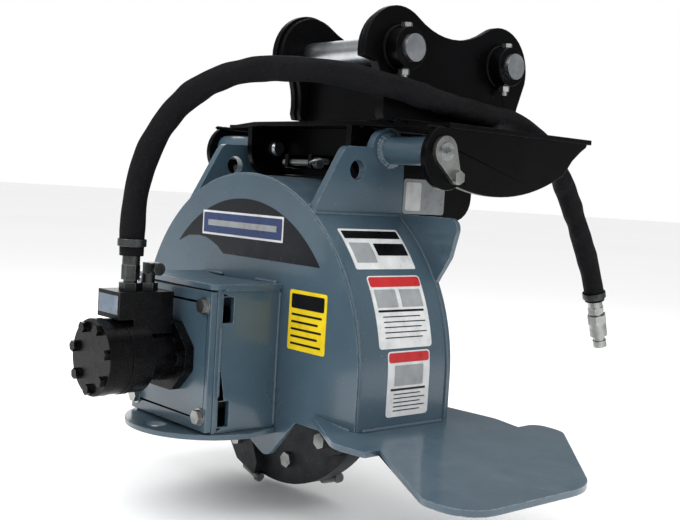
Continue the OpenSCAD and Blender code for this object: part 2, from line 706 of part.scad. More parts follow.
module free_end_clamp() color(dark_steel) at_hose_end() translate([0, 0, -4 - clamp_t]) band_clamp();

// local frame at the free end, with +Z running out of the hose
module at_hose_end() translate(hose_end) rotate([end_tilt, 0, 0]) children();

module hose_end_ferrule() color(bright) at_hose_end() {
    translate([0, 0, gap]) cylinder(h = 9, r = 9.5);
    translate([0, 0, 9 + gap]) hex(11, 8);
}

module quick_coupler() color(bright) at_hose_end() translate([0, 0, 17 + gap]) difference() {
    union() {
        cylinder(h = 3, r = 9);
        translate([0, 0, 3]) hex(13, 12);
        translate([0, 0, 15]) cylinder(h = 18, r = 11.5);
        translate([0, 0, 33]) cylinder(h = 7, r = 7.5);
        translate([0, 0, 40]) cylinder(h = 9, r = 9);
    }
    translate([0, 0, 36]) cylinder(h = 14, r = 5.5);
}

placed() front_side_plate();
placed() back_side_plate();
placed() outer_band();
placed() ear_near();
placed() ear_far();
placed() pivot_tube_near();
placed() pivot_tube_far();
placed() pivot_spacers();
placed() skid_plate();
placed() box_side_walls();
placed() box_front_frame();
placed() box_lid();
placed() box_bottom_plate();
placed() motor_mount_plate();
placed() mount_plate_bolts();
placed() motor_housing();
placed() motor_spacer_rings();
placed() motor_end_cap();
placed() motor_cap_bolts();
placed() motor_flange_bolts();
placed() motor_data_plate();
placed() hose_port_fitting();
placed() elbow_fitting();
placed() shaft_bearing_block();
placed() bearing_bolts();
placed() drive_shaft();
placed() motor_shaft();
placed() shaft_coupling();
placed() wheel_hub();
placed() hub_bolts();
placed() cutter_wheel();
placed() tooth_holders();
placed() tooth_bolts();
placed() cutter_teeth();
placed() frame_top_plate();
placed() end_plate_near();
placed() end_plate_far();
placed() inner_plate_near();
placed() inner_plate_far();
placed() hitch_plate_near();
placed() hitch_plate_far();
placed() hitch_doublers();
placed() frame_cross_plates();
placed() pin_collars();
placed() hitch_pin_front();
placed() hitch_pin_rear();
placed() pin_lock_bolts();
placed() pivot_pin_near();
placed() pivot_pin_far();
placed() pin_keepers();
placed() keeper_bolts();
placed() grease_nipples();
placed() lock_pin_lugs();
placed() lock_pin();
placed() lock_pin_ring();
placed() hose();
placed() motor_end_clamp();
placed() free_end_clamp();
placed() hose_end_ferrule();
placed() quick_coupler();
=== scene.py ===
"""Looks for the stump grinder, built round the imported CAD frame.

Positions are millimetres about the wheel centre. at() turns them into metres in the row frame,
whose origin is the middle of the front hitch pin.
"""
import json
import math
import random

import bmesh
import bpy
from mathutils import Matrix, Vector


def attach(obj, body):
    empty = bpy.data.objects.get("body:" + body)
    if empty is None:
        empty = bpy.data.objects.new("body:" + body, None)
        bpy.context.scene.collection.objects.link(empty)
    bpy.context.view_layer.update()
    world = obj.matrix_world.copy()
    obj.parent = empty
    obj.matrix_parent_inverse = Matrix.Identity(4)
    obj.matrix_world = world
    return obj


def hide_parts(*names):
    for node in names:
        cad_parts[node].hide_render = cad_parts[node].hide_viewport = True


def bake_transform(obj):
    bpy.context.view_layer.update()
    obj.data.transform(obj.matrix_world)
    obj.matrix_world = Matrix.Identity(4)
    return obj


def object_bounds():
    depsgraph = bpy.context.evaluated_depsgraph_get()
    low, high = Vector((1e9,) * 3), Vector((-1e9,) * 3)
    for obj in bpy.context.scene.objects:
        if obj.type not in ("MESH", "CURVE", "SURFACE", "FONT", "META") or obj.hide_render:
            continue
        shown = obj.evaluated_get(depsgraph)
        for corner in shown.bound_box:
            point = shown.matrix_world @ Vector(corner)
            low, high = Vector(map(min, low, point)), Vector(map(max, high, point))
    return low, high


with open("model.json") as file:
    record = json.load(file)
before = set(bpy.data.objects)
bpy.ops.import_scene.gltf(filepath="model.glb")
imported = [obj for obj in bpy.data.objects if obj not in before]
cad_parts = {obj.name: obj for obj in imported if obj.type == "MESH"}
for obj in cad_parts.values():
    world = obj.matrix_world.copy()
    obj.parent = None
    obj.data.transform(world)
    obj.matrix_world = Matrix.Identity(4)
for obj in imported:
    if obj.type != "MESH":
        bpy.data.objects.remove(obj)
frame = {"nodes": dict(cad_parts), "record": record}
cad_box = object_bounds()
nodes = frame["nodes"]
rng = random.Random(7)

MM = 0.001
PIN_Y, PIN_Z, PIN_GAP = 5, 350, 170            # front hitch pin, and the rear pin's distance
HITCH_X, HITCH_HALF, HITCH_T = 72, 65, 16      # middle, half width and plate of the hitch
ORIGIN = Vector((HITCH_X, PIN_Y, PIN_Z))
BAND_R, ARC_Z = 211, -7                        # outer band: radius and height of its centre
FRONT_Y, BACK_Y = -81, 53                      # outer faces that the band lies between
PIVOT_Y, PIVOT_Z = 30, 240                     # pivot pins' axis
EAR_X, EAR_T = 121.5, 10                       # outer face and thickness of an ear
BOX_X, BOX_Y = 77, -159                        # side and front of the motor box
TOP_Z, DECK_Z = 266, 272                       # under and upper face of the frame's top plate
INNER_X, INNER_T, END_X = 98, 8, 198           # inner plates, and inner faces of the end plates


def at(x, y, z):
    """A point in mm about the wheel centre, as metres in the row frame."""
    return (Vector((x, y, z)) - ORIGIN) * MM


# ---------------------------------------------------------------- camera

AZIMUTH, ELEVATION, ROLL = math.radians(48.29), math.radians(3.85), math.radians(3.46)
CAMERA_AT = at(989.7, -809.1, 192.6)
LENS_MM = 55.6


def make_camera():
    back = Vector((math.sin(AZIMUTH) * math.cos(ELEVATION),
                   -math.cos(AZIMUTH) * math.cos(ELEVATION), math.sin(ELEVATION)))
    level = Vector((math.cos(AZIMUTH), math.sin(AZIMUTH), 0))
    upright = back.cross(level)
    right = level * math.cos(ROLL) + upright * math.sin(ROLL)
    up = upright * math.cos(ROLL) - level * math.sin(ROLL)
    data = bpy.data.cameras.new("camera")
    data.sensor_width = 36
    data.lens = LENS_MM
    data.clip_start, data.clip_end = 0.01, 100
    cam = bpy.data.objects.new("camera", data)
    turn = Matrix((right, up, back)).transposed().to_4x4()
    cam.matrix_world = Matrix.Translation(CAMERA_AT) @ turn
    bpy.context.scene.collection.objects.link(cam)
    bpy.context.scene.camera = cam


make_camera()

# ---------------------------------------------------------------- node helpers


class Shade:
    """A material's node tree, with short calls for the nodes it is made of."""

    def __init__(self, name):
        self.mat = bpy.data.materials.new(name)
        self.mat.use_nodes = True
        self.tree = self.mat.node_tree
        self.tree.nodes.clear()
        self.out = self.tree.nodes.new("ShaderNodeOutputMaterial")
        self.coords = self.tree.nodes.new("ShaderNodeTexCoord")

    def node(self, kind, settings=None, **inputs):
        n = self.tree.nodes.new(kind)
        for key, value in (settings or {}).items():
            setattr(n, key, value)
        for key, value in inputs.items():
            self.put(n.inputs[key.replace("_", " ")], value)
        return n

    def put(self, socket, value):
        if isinstance(value, bpy.types.NodeSocket):
            self.tree.links.new(value, socket)
        else:
            socket.default_value = value

    def math(self, operation, a, b=0.0, clamp=False):
        n = self.tree.nodes.new("ShaderNodeMath")
        n.operation, n.use_clamp = operation, clamp
        self.put(n.inputs[0], a)
        self.put(n.inputs[1], b)
        return n.outputs[0]

    def noise(self, scale, detail=3.0, rough=0.55, stretch=None, where=None):
        vector = where or self.coords.outputs["Object"]
        if stretch:
            vector = self.node("ShaderNodeMapping", Vector=vector, Scale=stretch).outputs[0]
        n = self.node("ShaderNodeTexNoise", Vector=vector, Scale=scale, Detail=detail, Roughness=rough)
        return n.outputs["Fac"]

    def ramp(self, value, low, high):
        """0 below low, 1 above high, straight between."""
        n = self.node("ShaderNodeMapRange", {"clamp": True}, Value=value)
        n.inputs["From Min"].default_value, n.inputs["From Max"].default_value = low, high
        return n.outputs[0]

    def mix(self, share, a, b):
        n = self.tree.nodes.new("ShaderNodeMix")
        n.data_type = "RGBA"
        self.put(n.inputs[0], share)
        self.put(n.inputs[6], a)
        self.put(n.inputs[7], b)
        return n.outputs[2]

    def span(self, share, low, high):
        """A number that goes from low to high with share."""
        return self.math("ADD", self.math("MULTIPLY", share, high - low), low)

    def bump(self, height, strength, distance, normal=None):
        n = self.node("ShaderNodeBump", Strength=strength, Distance=distance, Height=height)
        if normal is not None:
            self.put(n.inputs["Normal"], normal)
        return n.outputs[0]

    def edges(self, radius):
        """1 on outside edges, 0 on flats, from how far a rounded normal turns."""
        round_normal = self.node("ShaderNodeBevel", {"samples": 4}, Radius=radius).outputs[0]
        flat_normal = self.node("ShaderNodeNewGeometry").outputs["Normal"]
        n = self.tree.nodes.new("ShaderNodeVectorMath")
        n.operation = "DOT_PRODUCT"
        self.put(n.inputs[0], round_normal)
        self.put(n.inputs[1], flat_normal)
        return self.ramp(self.math("SUBTRACT", 1.0, n.outputs["Value"]), 0.02, 0.22)

    def upward(self):
        """1 where a face looks up, for dust and sky light."""
        normal = self.node("ShaderNodeNewGeometry").outputs["Normal"]
        z = self.node("ShaderNodeSeparateXYZ", Vector=normal).outputs["Z"]
        return self.ramp(z, 0.2, 0.95)

    def finish(self, color, rough, normal=None, metallic=0.0, coat=0.0, specular=0.5):
        p = self.node("ShaderNodeBsdfPrincipled", Base_Color=color, Roughness=rough, Metallic=metallic)
        p.inputs["Coat Weight"].default_value = coat
        p.inputs["Coat Roughness"].default_value = 0.12
        p.inputs["Specular IOR Level"].default_value = specular
        if normal is not None:
            self.put(p.inputs["Normal"], normal)
        self.tree.links.new(p.outputs[0], self.out.inputs["Surface"])
        return self.mat


def rgb(r, g, b):
    """An sRGB colour of 0 to 255 as linear RGBA."""
    def lin(c):
        c /= 255
        return c / 12.92 if c <= 0.04045 else ((c + 0.055) / 1.055) ** 2.4
    return (lin(r), lin(g), lin(b), 1.0)


# ---------------------------------------------------------------- materials


def paint(name, low, high, edge, rough, dust, peel=0.05, coat=0.25, specular=0.5):
    """Sprayed paint: cloudy colour, orange peel, rubbed edges that also carry a painted highlight, and a
    little dust on top.
    """
    s = Shade(name)
    clouds = s.ramp(s.noise(9, 5, 0.6), 0.3, 0.7)
    streaks = s.ramp(s.noise(14, 4, 0.6, stretch=(1, 1, 0.18)), 0.35, 0.75)
    base = s.mix(s.math("MULTIPLY", streaks, 0.5), s.mix(clouds, low, high), low)
    # Edges lighten in patches. Part of this is rubbed paint, and part is a painted highlight that stands
    # for gloss glints on the edges.
    edge_patch = s.math("MULTIPLY", s.edges(0.0016), s.ramp(s.noise(120, 4, 0.7), 0.42, 0.6))
    worn_and_highlit = s.mix(s.math("MULTIPLY", edge_patch, 0.75), base, edge)
    specks = s.ramp(s.noise(420, 2, 0.5), 0.69, 0.74)
    worn_and_highlit = s.mix(s.math("MULTIPLY", specks, 0.35), worn_and_highlit, edge)
    grime = s.math("MULTIPLY", s.upward(), s.ramp(s.noise(26, 6, 0.7), 0.38, 0.7))
    color = s.mix(s.math("MULTIPLY", grime, dust[3]), worn_and_highlit, (*dust[:3], 1))
    roughness = s.math("ADD", s.span(clouds, rough - 0.04, rough + 0.07), s.math("MULTIPLY", grime, 0.16))
    skin = s.bump(s.noise(260, 2, 0.5), peel, 0.0006)
    normal = s.bump(s.noise(34, 3, 0.5), 0.06, 0.0018, skin)
    return s.finish(color, roughness, normal, coat=coat, specular=specular)


def casting(name, low, high):
    """Black paint over a sand casting: pebbled, satin, with rubbed high spots."""
    s = Shade(name)
    sand = s.noise(520, 5, 0.65)
    lumps = s.noise(80, 3, 0.5)
    edge_patch = s.math("MULTIPLY", s.edges(0.0012), s.ramp(s.noise(160, 4, 0.7), 0.4, 0.6))
    color = s.mix(s.math("MULTIPLY", edge_patch, 0.7), s.mix(s.ramp(lumps, 0.35, 0.7), low, high), rgb(70, 70, 72))
    normal = s.bump(sand, 0.25, 0.0007, s.bump(lumps, 0.25, 0.0015))
    return s.finish(color, s.span(s.ramp(sand, 0.3, 0.7), 0.20, 0.36), normal, specular=0.12)


def steel(name, low, high, rough, stain, grain=(1, 1, 1), grain_scale=300):
    """Bare or plated steel: cloudy plating, fine grain along one way, dark stain in patches."""
    s = Shade(name)
    clouds = s.ramp(s.noise(45, 4, 0.6), 0.3, 0.7)
    lines = s.noise(grain_scale, 4, 0.6, stretch=grain)
    spots = s.ramp(s.noise(95, 6, 0.75), 0.56, 0.72)
    edge = s.edges(0.0008)
    color = s.mix(s.math("MULTIPLY", spots, 0.6), s.mix(clouds, low, high), stain)
    color = s.mix(s.math("MULTIPLY", edge, 0.4), color, rgb(225, 226, 226))
    roughness = s.math("ADD", s.span(lines, rough - 0.08, rough + 0.1), s.math("MULTIPLY", spots, 0.18))
    return s.finish(color, roughness, s.bump(lines, 0.12, 0.0004), metallic=1.0)


def wheel_steel(name):
    """Burnt and ground plate: circular grinding marks, scale and a dusting of soil."""
    s = Shade(name)
    place = s.node("ShaderNodeMapping", Vector=s.coords.outputs["Object"])
    place.inputs["Location"].default_value = -at(0, 0, 0)
    parts = s.node("ShaderNodeSeparateXYZ", Vector=place.outputs[0])
    reach = s.math("SQRT", s.math("ADD", s.math("POWER", parts.outputs["X"], 2.0),
                                  s.math("POWER", parts.outputs["Z"], 2.0)))
    ring = s.node("ShaderNodeCombineXYZ", X=reach, Y=parts.outputs["Y"])
    marks = s.noise(900, 3, 0.6, where=ring.outputs[0])
    scale = s.ramp(s.noise(30, 6, 0.7), 0.35, 0.68)
    color = s.mix(scale, rgb(34, 37, 41), rgb(56, 58, 61))
    color = s.mix(s.math("MULTIPLY", s.ramp(s.noise(70, 6, 0.75), 0.55, 0.7), 0.5), color, rgb(92, 74, 60))
    normal = s.bump(marks, 0.16, 0.0006, s.bump(s.noise(180, 4, 0.6), 0.15, 0.0006))
    return s.finish(color, s.span(marks, 0.42, 0.62), normal, metallic=0.4, specular=0.3)


def woven_sleeve(name):
    """Nylon hose sleeve: a fine basket weave laid out along the hose, faded in patches."""
    s = Shade(name)
    uv = s.coords.outputs["UV"]
    parts = s.node("ShaderNodeSeparateXYZ", Vector=uv)
    across = s.math("SINE", s.math("MULTIPLY", parts.outputs["X"], 2 * math.pi * 46))
    along = s.math("SINE", s.math("MULTIPLY", parts.outputs["Y"], 2 * math.pi * 560))
    weave = s.math("MULTIPLY", across, along)
    fade = s.ramp(s.noise(16, 5, 0.65), 0.35, 0.75)
    lint = s.ramp(s.noise(700, 2, 0.6), 0.66, 0.74)
    color = s.mix(fade, rgb(6, 6, 8), rgb(18, 18, 21))
    color = s.mix(s.math("MULTIPLY", lint, 0.35), color, rgb(84, 84, 86))
    color = s.mix(s.math("MULTIPLY", s.ramp(weave, 0.2, 0.9), 0.3), color, rgb(30, 30, 34))
    folds = s.noise(60, 4, 0.6)
    normal = s.bump(weave, 0.35, 0.0005, s.bump(folds, 0.8, 0.005))
    return s.finish(color, s.span(fade, 0.58, 0.78), normal, specular=0.12)


def label_print(name, color, rub_color=(0.55, 0.55, 0.54, 1)):
    """Printed vinyl: even ink with faint mottling, scuffs and a soft orange peel from the paint below."""
    s = Shade(name)
    mottle = s.ramp(s.noise(60, 4, 0.6), 0.35, 0.7)
    scuff = s.ramp(s.noise(240, 5, 0.7, stretch=(1, 1, 0.25)), 0.66, 0.76)
    darker = tuple(c * 0.8 for c in color[:3]) + (1,)
    tone = s.mix(mottle, darker, color)
    tone = s.mix(s.math("MULTIPLY", scuff, 0.3), tone, rub_color)
    peel = s.bump(s.noise(300, 2, 0.5), 0.05, 0.0004)
    return s.finish(tone, s.span(mottle, 0.26, 0.42), peel, specular=0.3)


# GREY's edge colour is set lighter than worn paint alone would be, as a painted highlight on its edges and
# welds.
GREY = paint("grey_blue_paint", rgb(56, 76, 89), rgb(66, 87, 100), rgb(150, 164, 172), 0.30,
             (0.24, 0.28, 0.30, 0.12), peel=0.06, coat=0.45)
BLACK = paint("gloss_black_paint", rgb(3, 3, 4), rgb(7, 7, 9), rgb(46, 47, 50), 0.28,
              (0.03, 0.03, 0.03, 0.25), peel=0.12, coat=0.0, specular=0.10)
CASTING = casting("motor_casting", rgb(4, 4, 5), rgb(11, 11, 13))
ZINC = steel("zinc_plate", rgb(138, 140, 138), rgb(178, 180, 176), 0.34, rgb(110, 104, 88))
PIN = steel("turned_pin", rgb(170, 173, 178), rgb(206, 208, 211), 0.30, rgb(96, 92, 86),
            grain=(6, 1, 1), grain_scale=420)
FITTING = steel("oiled_fitting", rgb(48, 50, 50), rgb(92, 94, 93), 0.36, rgb(44, 42, 40))
WHEEL = wheel_steel("wheel_steel")
CARBIDE = steel("carbide", rgb(112, 113, 114), rgb(150, 150, 148), 0.40, rgb(70, 62, 54))
PLATE = steel("blank_plate", rgb(120, 134, 150), rgb(150, 160, 172), 0.42, rgb(80, 84, 92))
SLEEVE = woven_sleeve("hose_sleeve")

SLOT_LOOK = {
    "painted_grey": GREY, "painted_black": BLACK, "motor_black": CASTING, "zinc_steel": ZINC,
    "pin_steel": PIN, "dark_steel": WHEEL, "carbide": CARBIDE, "plate_label": PLATE, "hose_sleeve": SLEEVE,
}
NODE_LOOK = {"hose_port_fitting": FITTING, "elbow_fitting": FITTING, "motor_end_clamp": FITTING,
             "free_end_clamp": FITTING, "shaft_coupling": FITTING, "wheel_hub": FITTING}

# ---------------------------------------------------------------- CAD nodes: finish and rounded edges

SOFT_EDGE = {"painted_grey": 0.9, "painted_black": 1.0, "motor_black": 0.7, "zinc_steel": 0.35,
             "pin_steel": 0.5, "dark_steel": 0.7, "carbide": 0.5, "plate_label": 0.15}


def dress_cad_nodes():
    slots = {p["node"]: p["material_slot"] for p in frame["record"]["subparts"]}
    for name, obj in nodes.items():
        mesh = obj.data
        look = NODE_LOOK.get(name) or SLOT_LOOK[slots[name]]
        mesh.materials.clear()
        mesh.materials.append(look)
        if name == "hose":
            continue
        if "custom_normal" in mesh.attributes:
            mesh.attributes.remove(mesh.attributes["custom_normal"])
        for poly in mesh.polygons:
            poly.use_smooth = True
        weld = obj.modifiers.new("join", "WELD")
        weld.merge_threshold = 2e-6
        bevel = obj.modifiers.new("soft_edge", "BEVEL")
        bevel.width = SOFT_EDGE[slots[name]] * MM
        bevel.segments = 2
        bevel.limit_method = "ANGLE"
        bevel.angle_limit = math.radians(32)
        bevel.harden_normals = True
        bevel.use_clamp_overlap = True


dress_cad_nodes()

# ---------------------------------------------------------------- mesh helpers


def new_piece(name, verts, faces, look, body=None, smooth=True):
    mesh = bpy.data.meshes.new(name)
    mesh.from_pydata([tuple(v) for v in verts], [], faces)
    mesh.validate()
    mesh.materials.append(look)
    for poly in mesh.polygons:
        poly.use_smooth = smooth
    obj = bpy.data.objects.new(name, mesh)
    bpy.context.scene.collection.objects.link(obj)
    if body:
        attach(obj, body)
    return obj


def catmull(points, per_span):
    """A smooth line through the points."""
    p = [points[0] * 2 - points[1], *points, points[-1] * 2 - points[-2]]
    line = []
    for i in range(1, len(p) - 2):
        for k in range(per_span):
            t = k / per_span
            line.append(0.5 * ((2 * p[i]) + (p[i + 1] - p[i - 1]) * t
                               + (2 * p[i - 1] - 5 * p[i] + 4 * p[i + 1] - p[i + 2]) * t * t
                               + (3 * p[i] - p[i - 1] - 3 * p[i + 1] + p[i + 2]) * t ** 3))
    line.append(points[-1])
    return line


def spaced(points, step, closed=False):
    """Points at an even step along a line."""
    pts = list(points) + ([points[0]] if closed else [])
    marks = [0.0]
    for a, b in zip(pts, pts[1:]):
        marks.append(marks[-1] + (b - a).length)
    count = max(2, round(marks[-1] / step))
    out, i = [], 0
    for k in range(count + (0 if closed else 1)):
        s = marks[-1] * k / count
        while i < len(marks) - 2 and marks[i + 1] < s:
            i += 1
        share = (s - marks[i]) / max(1e-9, marks[i + 1] - marks[i])
        out.append(pts[i].lerp(pts[i + 1], share))
    return out


def tangents(line, closed=False):
    n = len(line)
    out = []
    for i in range(n):
        a = line[(i - 1) % n] if closed else line[max(0, i - 1)]
        b = line[(i + 1) % n] if closed else line[min(n - 1, i + 1)]
        out.append((b - a).normalized())
    return out


def frames(line, closed=False, first=Vector((0.3, 0.2, 1))):
    """(tangent, side, up) at each point, turned as little as possible from one to the next."""
    side = None
    out = []
    for t in tangents(line, closed):
        side = (first if side is None else side)
        side = (side - t * side.dot(t)).normalized()
        out.append((t, side, t.cross(side)))
    return out


def bead(name, runs, radius, body, look=None):
    """Weld beads: a half-buried ripple-topped rope along each run of points (in mm about the wheel)."""
    verts, faces = [], []
    sides, ripple = 8, radius * 1.15
    for run in runs:
        pts, closed = run if isinstance(run, tuple) else (run, False)
        step = radius * 0.3
        line = spaced([Vector(p) for p in pts], step, closed)
        base = len(verts)
        for i, (t, side, up) in enumerate(frames(line, closed)):
            phase = (i * step / ripple) % 1.0
            swell = radius * (0.80 + 0.22 * (1 - phase) ** 1.5 + rng.uniform(-0.05, 0.05))
            end = min(1.0, 0.35 + min(i, len(line) - 1 - i) * 0.25) if not closed else 1.0
            sway = rng.uniform(-0.06, 0.06) * radius
            for k in range(sides):
                a = 2 * math.pi * k / sides
                v = line[i] + (side * math.cos(a) + up * math.sin(a)) * swell * end + side * sway
                verts.append(at(*v))
        n = len(line)
        for i in range(n if closed else n - 1):
            for k in range(sides):
                a, b = base + i * sides + k, base + i * sides + (k + 1) % sides
                c, d = base + ((i + 1) % n) * sides + (k + 1) % sides, base + ((i + 1) % n) * sides + k
                faces.append((a, b, c, d))
        if not closed:
            faces.append(tuple(base + k for k in reversed(range(sides))))
            faces.append(tuple(base + (n - 1) * sides + k for k in range(sides)))
    return new_piece(name, verts, faces, look or GREY, body)


def ring_x(x, y, z, r, a0=0, a1=360, n=48):
    """Points of a circle round an X axis."""
    full = a1 - a0 >= 360
    pts = [(x, y + r * math.cos(math.radians(a0 + (a1 - a0) * i / n)),
            z + r * math.sin(math.radians(a0 + (a1 - a0) * i / n))) for i in range(n + (0 if full else 1))]
    return (pts, True) if full else pts


def ring_y(x, y, z, r, a0=0, a1=360, n=72):
    """Points of a circle round a Y axis."""
    full = a1 - a0 >= 360
    pts = [(x + r * math.cos(math.radians(a0 + (a1 - a0) * i / n)), y,
            z + r * math.sin(math.radians(a0 + (a1 - a0) * i / n))) for i in range(n + (0 if full else 1))]
    return (pts, True) if full else pts


LABEL_T = 0.35


def panel(name, outline, place, lift, look, body, slices=0.0):
    """A thin label: outline is a list of (u, v) in mm, and place(u, v, height) gives its point.
    slices is the height of the strips that it is cut into where it lies on a curve."""
    bm = bmesh.new()
    bm.faces.new([bm.verts.new((u, v, lift + LABEL_T)) for u, v in outline])
    if slices:
        low, high = min(v for _, v in outline), max(v for _, v in outline)
        for i in range(1, int((high - low) / slices) + 1):
            bmesh.ops.bisect_plane(bm, geom=bm.verts[:] + bm.edges[:] + bm.faces[:],
                                   plane_co=(0, low + i * slices, 0), plane_no=(0, 1, 0))
    rim = [e for e in bm.edges if e.is_boundary]
    walls = bmesh.ops.extrude_edge_only(bm, edges=rim)["geom"]
    for v in (g for g in walls if isinstance(g, bmesh.types.BMVert)):
        v.co.z = lift - 0.2
    for v in bm.verts:
        v.co = at(*place(*v.co))
    bmesh.ops.recalc_face_normals(bm, faces=bm.faces)
    mesh = bpy.data.meshes.new(name)
    bm.to_mesh(mesh)
    bm.free()
    mesh.materials.append(look)
    obj = bpy.data.objects.new(name, mesh)
    bpy.context.scene.collection.objects.link(obj)
    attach(obj, body)


def front_panel(name, outline, lift, look):
    panel(name, outline, on_front, lift, look, "head")


def band_panel(name, outline, lift, look):
    panel(name, outline, on_band, lift, look, "head", slices=4.0)


def rounded_box(u0, u1, v0, v1, r):
    """Outline of a rectangle with rounded corners."""
    out, steps = [], 5
    corners = ((u1 - r, v1 - r, 0), (u0 + r, v1 - r, 90), (u0 + r, v0 + r, 180), (u1 - r, v0 + r, 270))
    for cu, cv, a0 in corners:
        for i in range(steps + 1):
            a = math.radians(a0 + 90 * i / steps)
            out.append((cu + r * math.cos(a), cv + r * math.sin(a)))
    return out


# ---------------------------------------------------------------- hose

HOSE_ROUTE = [(-2, -226, 108), (-2, -226, 138), (-1, -225, 168), (3, -222, 196), (11, -217, 224),
              (22, -210, 248), (36, -200, 270), (53, -189, 287), (73, -176, 300), (94, -162, 308),
              (115, -146, 312), (135, -128, 313), (152, -106, 313), (165, -82, 311),
              (173, -56, 308), (178, -15, 304), (178, 32, 298), (177, 82, 292), (174, 128, 289),
              (171, 166, 287), (169, 198, 282), (168, 228, 272), (168, 257, 256), (168, 282, 234),
              (167, 305, 209), (166, 328, 178), (166, 350, 144), (166, 370, 110), (166, 384, 80),
              (166, 389, 64)]
HOSE_R = 14.0
HOSE_STEP = 2.0        # between rings of the sleeve's mesh
HOSE_SIDES = 60
FOLD_ROOM = 1.05       # the folds stand on a core this much under HOSE_R
SEAM_AT = 4.3          # where round the sleeve its seam lies, in radians


def make_hose():
    line = spaced(catmull([Vector(p) for p in HOSE_ROUTE], 8), HOSE_STEP)
    total = len(line)
    around = HOSE_SIDES
    verts, uvs, faces = [], [], []
    wave = [rng.uniform(0, 2 * math.pi) for _ in range(5)]
    for i, (t, side, up) in enumerate(frames(line, first=Vector((1, 0, 0)))):
        s = i * HOSE_STEP
        ease = min(1.0, i / 14, (total - 1 - i) / 14)
        for k in range(around + 1):
            a = 2 * math.pi * k / around
            bunch = 0.6 + 0.4 * math.sin(s / 47 + wave[4])
            folds = (math.sin(s / 6.1 + 1.7 * math.sin(a + wave[0]) + wave[1]) * 0.42 * bunch
                     + math.sin(s / 13.7 + 2 * a + wave[2]) * 0.45
                     + math.sin(s / 3.9 - a + wave[3]) * 0.20 * bunch)
            seam = 0.6 * max(0.0, math.cos(a - SEAM_AT)) ** 90
            r = HOSE_R - FOLD_ROOM + (folds + seam) * ease
            flat = 1 - 0.03 * ease * math.cos(2 * a)
            verts.append(at(*(line[i] + (side * math.cos(a) + up * math.sin(a)) * r * flat)))
            uvs.append((k / around, i / total))
    row = around + 1
    for i in range(total - 1):
        for k in range(around):
            faces.append((i * row + k, i * row + k + 1, (i + 1) * row + k + 1, (i + 1) * row + k))
    for i, flip in ((0, True), (total - 1, False)):
        centre = len(verts)
        verts.append(at(*line[i]))
        uvs.append((0.5, i / total))
        for k in range(around):
            a, b = i * row + k, i * row + k + 1
            faces.append((centre, b, a) if flip else (centre, a, b))
    obj = new_piece("hose_sleeve", verts, faces, SLEEVE)
    layer = obj.data.uv_layers.new(name="along")
    for loop in obj.data.loops:
        layer.data[loop.index].uv = uvs[loop.vertex_index]
    bm = bmesh.new()
    bm.from_mesh(obj.data)
    bmesh.ops.remove_doubles(bm, verts=bm.verts, dist=1e-5)
    bm.to_mesh(obj.data)
    bm.free()
    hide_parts("hose")
    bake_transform(obj)


make_hose()

# ---------------------------------------------------------------- weld beads

SKIRT_Z = -60


def rim_run(y):
    return [(BAND_R, y, SKIRT_Z), *ring_y(0, y, ARC_Z, BAND_R, 0, 180, 96), (-BAND_R, y, SKIRT_Z)]


def make_welds():
    bead("rim_welds", [rim_run(FRONT_Y + 3), rim_run(BACK_Y - 0.5)], 2.0, "head")
    ears = []
    for side in (1, -1):
        for x in (EAR_X - EAR_T, EAR_X):
            z = ARC_Z + math.sqrt(BAND_R ** 2 - x ** 2) + 0.5
            ears.append([(side * x, FRONT_Y + 2, z), (side * x, BACK_Y + 4, z)])
    bead("ear_welds", ears, 3.0, "head")
    tubes = [ring_x(side * (EAR_X + 1 + step), PIVOT_Y, PIVOT_Z, 17.5 - step)
             for side in (1, -1) for step in (0, 2.2)]
    bead("tube_welds", tubes, 4.2, "head")
    spacers = [ring_x(side * (EAR_X - EAR_T - 0.5), PIVOT_Y, PIVOT_Z, 16.3) for side in (1, -1)]
    bead("spacer_welds", spacers, 2.4, "head")
    box = []
    for side in (1, -1):
        box.append([(side * BOX_X, FRONT_Y - 1, -76), (side * BOX_X, FRONT_Y - 1, 76)])
        box.append([(side * BOX_X, BOX_Y - 0.5, -38), (side * BOX_X, BOX_Y - 0.5, 38)])
        box.append([(side * (BOX_X + 0.5), BOX_Y + 2, 77.5), (side * (BOX_X + 0.5), FRONT_Y - 2, 77.5)])
    box.append([(-76, BOX_Y, -84), (76, BOX_Y, -84)])
    bead("box_welds", box, 2.2, "head")
    lid = [[(side * 70, FRONT_Y - 1, 84), (end, FRONT_Y - 1, 84)] for side, end in ((1, 30), (-1, -34))]
    bead("lid_welds", lid, 2.6, "head")
    skid = [[(BAND_R + 1, -72, -56), (BAND_R + 1, 50, -56)],
            [(152, FRONT_Y - 1, -54), (205, FRONT_Y - 1, -56)]]
    bead("skid_welds", skid, 2.6, "head")
    under = TOP_Z - 0.5
    plates = [[(x, 3, under), (x, 198, under)]
              for x in (INNER_X - INNER_T, INNER_X, INNER_T - INNER_X, -INNER_X)]
    plates += [[(x, 10, under), (x, 284, under)] for x in (END_X, -END_X)]
    bead("frame_welds", plates, 2.6, "hitch", BLACK)
    above = DECK_Z + 0.5
    near, far = HITCH_X + HITCH_HALF, HITCH_X - HITCH_HALF
    hitch = [[(x, 2, above), (x, 203, above)] for x in (near, near + HITCH_T, far, far - HITCH_T)]
    bead("hitch_welds", hitch, 3.0, "hitch", BLACK)
    collars = [ring_x(x, y, PIN_Z, 23.5)
               for y in (PIN_Y, PIN_Y + PIN_GAP) for x in (near + HITCH_T + 0.5, far - HITCH_T - 0.5)]
    bead("collar_welds", collars, 3.0, "hitch", BLACK)


make_welds()

# ---------------------------------------------------------------- blank labels

